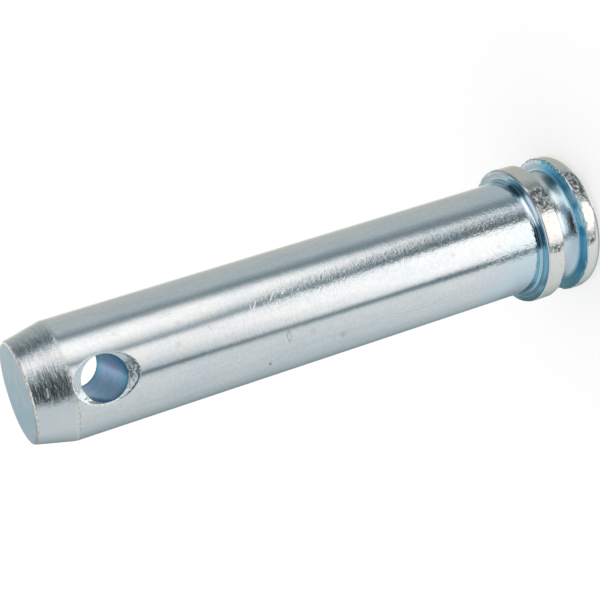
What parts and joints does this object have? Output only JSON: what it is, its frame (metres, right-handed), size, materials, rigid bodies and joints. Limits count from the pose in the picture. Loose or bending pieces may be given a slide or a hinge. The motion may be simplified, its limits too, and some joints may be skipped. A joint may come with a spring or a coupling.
{
  "type": "hitch pin",
  "caption": "Straight turned hitch pin with a grooved double-collar head, a tapered tip and a countersunk cross hole for a locking pin.",
  "frame": {"origin": "centre of the head's flat end face, on which the pin stands", "axes": "+Z along the pin's axis from head to tip; the cross hole runs along Y, with its shallower countersink facing -Y"},
  "size_m": [0.0382, 0.0382, 0.163],
  "materials": {
    "zinc_plated_steel": "bright zinc plating with a faint blue passivation, over a turned surface"
  },
  "bodies": {
    "root": {"hitch_pin": "zinc_plated_steel"}
  },
  "joints": []
}
